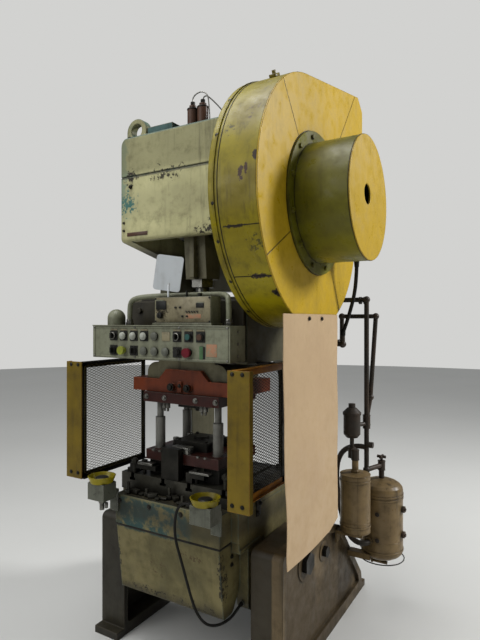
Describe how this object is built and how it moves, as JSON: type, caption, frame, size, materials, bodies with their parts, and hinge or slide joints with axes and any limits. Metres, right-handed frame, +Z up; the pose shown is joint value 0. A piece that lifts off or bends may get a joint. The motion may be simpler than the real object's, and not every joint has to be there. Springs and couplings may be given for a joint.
{
  "type": "mechanical stamping press",
  "caption": "Gap-frame mechanical stamping press with a guarded side flywheel, crank-driven slide, die set, two-hand control and air tanks.",
  "frame": {"origin": "centre of the four floor bolt holes, on the floor plane under the feet", "axes": "+X to the operator's right, towards the flywheel; +Y from the operator to the back of the press; +Z up"},
  "size_m": [1.372, 1.5037, 2.787],
  "materials": {
    "cream_casting": "worn cream enamel over cast iron, greasy at the edges",
    "dark_leg": "oil-soaked paint over cast iron",
    "right_leg_paint": "worn khaki paint over cast iron",
    "teal_paint": "old teal paint, chipped",
    "guard_yellow": "weathered yellow enamel on sheet steel",
    "post_yellow": "ochre yellow enamel, chipped to steel",
    "red_paint": "faded red-orange paint",
    "panel_grey": "grey-green enamel on sheet steel",
    "bare_iron": "oiled and dark",
    "machined_steel": "machined and oiled",
    "dark_steel": "black steel, oiled",
    "bearing_bronze": "bronze",
    "tank_beige": "beige enamel with oil runs",
    "black_pipe": "black iron pipe, rust at the joints",
    "black_rubber": "matt rubber",
    "fibre_board": "smooth tan fibre sheet",
    "black_plastic": "moulded black plastic",
    "teal_plastic": "worn gloss",
    "brown_plastic": "worn gloss",
    "yellow_plastic": "worn gloss",
    "red_plastic": "worn gloss",
    "white_enamel": "white enamelled sign"
  },
  "bodies": {
    "frame": {"frame_casting": "cream_casting", "left_leg": "dark_leg", "right_leg": "right_leg_paint", "leg_bolts": "dark_steel", "crown_top_plate": "teal_paint", "lubricator": "red_paint", "main_bearings": "bearing_bronze", "left_bearing_cap": "cream_casting", "gibs": "bare_iron", "bolster_plate": "bare_iron", "clamps_and_parallels": "dark_steel", "lower_die_set": "red_paint", "die_block": "dark_steel", "guard_back": "guard_yellow", "guard_band": "guard_yellow", "guard_face": "guard_yellow", "clutch_housing": "guard_yellow", "clutch_end_cover": "guard_yellow", "air_union_pipe": "black_pipe", "clutch_hose": "black_rubber", "hanging_sheet": "fibre_board", "control_panel": "panel_grey", "panel_bracket": "dark_steel", "panel_fittings": "black_plastic", "small_control_box": "panel_grey", "sign_plate": "white_enamel", "panel_conduits": "panel_grey", "palm_boxes": "panel_grey", "ring_guards": "guard_yellow", "guard_posts": "post_yellow", "left_mesh_panel": "post_yellow", "right_mesh_panel": "post_yellow", "motor": "dark_steel", "motor_bracket": "dark_steel", "air_tanks": "tank_beige", "air_piping": "black_pipe", "palm_cable": "black_rubber", "v_belts": "black_rubber"},
    "flywheel": {"flywheel": "bare_iron"},
    "motor_rotor": {"motor_pulley": "bare_iron"},
    "crank": {"crankshaft": "machined_steel", "clutch_hub": "machined_steel"},
    "connecting_rod": {"pitman": "cream_casting", "adjusting_screw": "machined_steel"},
    "slide": {"slide": "cream_casting", "ram_plate": "red_paint", "upper_die_set": "red_paint", "punch_block": "dark_steel"},
    "teal_button": {"teal_button": "teal_plastic"},
    "brown_button": {"brown_button": "brown_plastic"},
    "yellow_button": {"yellow_button": "yellow_plastic"},
    "red_button": {"red_button": "red_plastic"},
    "black_button": {"black_button": "black_plastic"},
    "selector_1": {"selector_1": "black_plastic"},
    "selector_2": {"selector_2": "black_plastic"},
    "selector_3": {"selector_3": "black_plastic"},
    "selector_4": {"selector_4": "black_plastic"},
    "left_palm_button": {"left_palm_button": "black_plastic"},
    "right_palm_button": {"right_palm_button": "black_plastic"},
    "valve_handle": {"valve_handle": "black_pipe"}
  },
  "joints": [
    {"name": "flywheel_spin", "type": "hinge", "parent": "frame", "child": "flywheel", "pos_m": [0.51, -0.37, 2.105], "axis": [1, 0, 0], "continuous": true},
    {"name": "motor_spin", "type": "hinge", "parent": "frame", "child": "motor_rotor", "pos_m": [0.49, 0.15, 2.64], "axis": [1, 0, 0], "continuous": true},
    {"name": "crank_turn", "type": "hinge", "parent": "frame", "child": "crank", "pos_m": [0, -0.37, 2.105], "axis": [1, 0, 0], "continuous": true},
    {"name": "rod_swing", "type": "hinge", "parent": "crank", "child": "connecting_rod", "pos_m": [0, -0.37, 2.143], "axis": [1, 0, 0], "continuous": true},
    {"name": "slide_stroke", "type": "slide", "parent": "frame", "child": "slide", "axis": [0, 0, -1], "range_m": [0, 0.076]},
    {"name": "teal_button_press", "type": "slide", "parent": "frame", "child": "teal_button", "axis": [0, 1, 0], "range_m": [0, 0.005], "stiffness_N_per_m": 400},
    {"name": "brown_button_press", "type": "slide", "parent": "frame", "child": "brown_button", "axis": [0, 1, 0], "range_m": [0, 0.005], "stiffness_N_per_m": 400},
    {"name": "yellow_button_press", "type": "slide", "parent": "frame", "child": "yellow_button", "axis": [0, 1, 0], "range_m": [0, 0.005], "stiffness_N_per_m": 400},
    {"name": "red_button_press", "type": "slide", "parent": "frame", "child": "red_button", "axis": [0, 1, 0], "range_m": [0, 0.005], "stiffness_N_per_m": 400},
    {"name": "black_button_press", "type": "slide", "parent": "frame", "child": "black_button", "axis": [0, 1, 0], "range_m": [0, 0.005], "stiffness_N_per_m": 400},
    {"name": "selector_1_turn", "type": "hinge", "parent": "frame", "child": "selector_1", "pos_m": [-0.248, -0.73, 1.5285], "axis": [0, 1, 0], "range_deg": [-45, 45]},
    {"name": "selector_2_turn", "type": "hinge", "parent": "frame", "child": "selector_2", "pos_m": [0.118, -0.73, 1.5285], "axis": [0, 1, 0], "range_deg": [-45, 45]},
    {"name": "selector_3_turn", "type": "hinge", "parent": "frame", "child": "selector_3", "pos_m": [-0.248, -0.73, 1.4625], "axis": [0, 1, 0], "range_deg": [-45, 45]},
    {"name": "selector_4_turn", "type": "hinge", "parent": "frame", "child": "selector_4", "pos_m": [-0.126, -0.73, 1.4625], "axis": [0, 1, 0], "range_deg": [-45, 45]},
    {"name": "left_palm_press", "type": "slide", "parent": "frame", "child": "left_palm_button", "axis": [0, 0, -1], "range_m": [0, 0.008], "stiffness_N_per_m": 1200, "springref_m": -0.005},
    {"name": "right_palm_press", "type": "slide", "parent": "frame", "child": "right_palm_button", "axis": [0, 0, -1], "range_m": [0, 0.008], "stiffness_N_per_m": 1200, "springref_m": -0.005},
    {"name": "valve_turn", "type": "hinge", "parent": "frame", "child": "valve_handle", "pos_m": [0.677, 0.4, 0.83], "axis": [0, 0, 1], "range_deg": [0, 340]}
  ],
  "couplings": [
    {"joint": "motor_spin", "follows": "flywheel_spin", "ratio": 6.5333},
    {"joint": "rod_swing", "follows": "crank_turn", "ratio": -1}
  ]
}
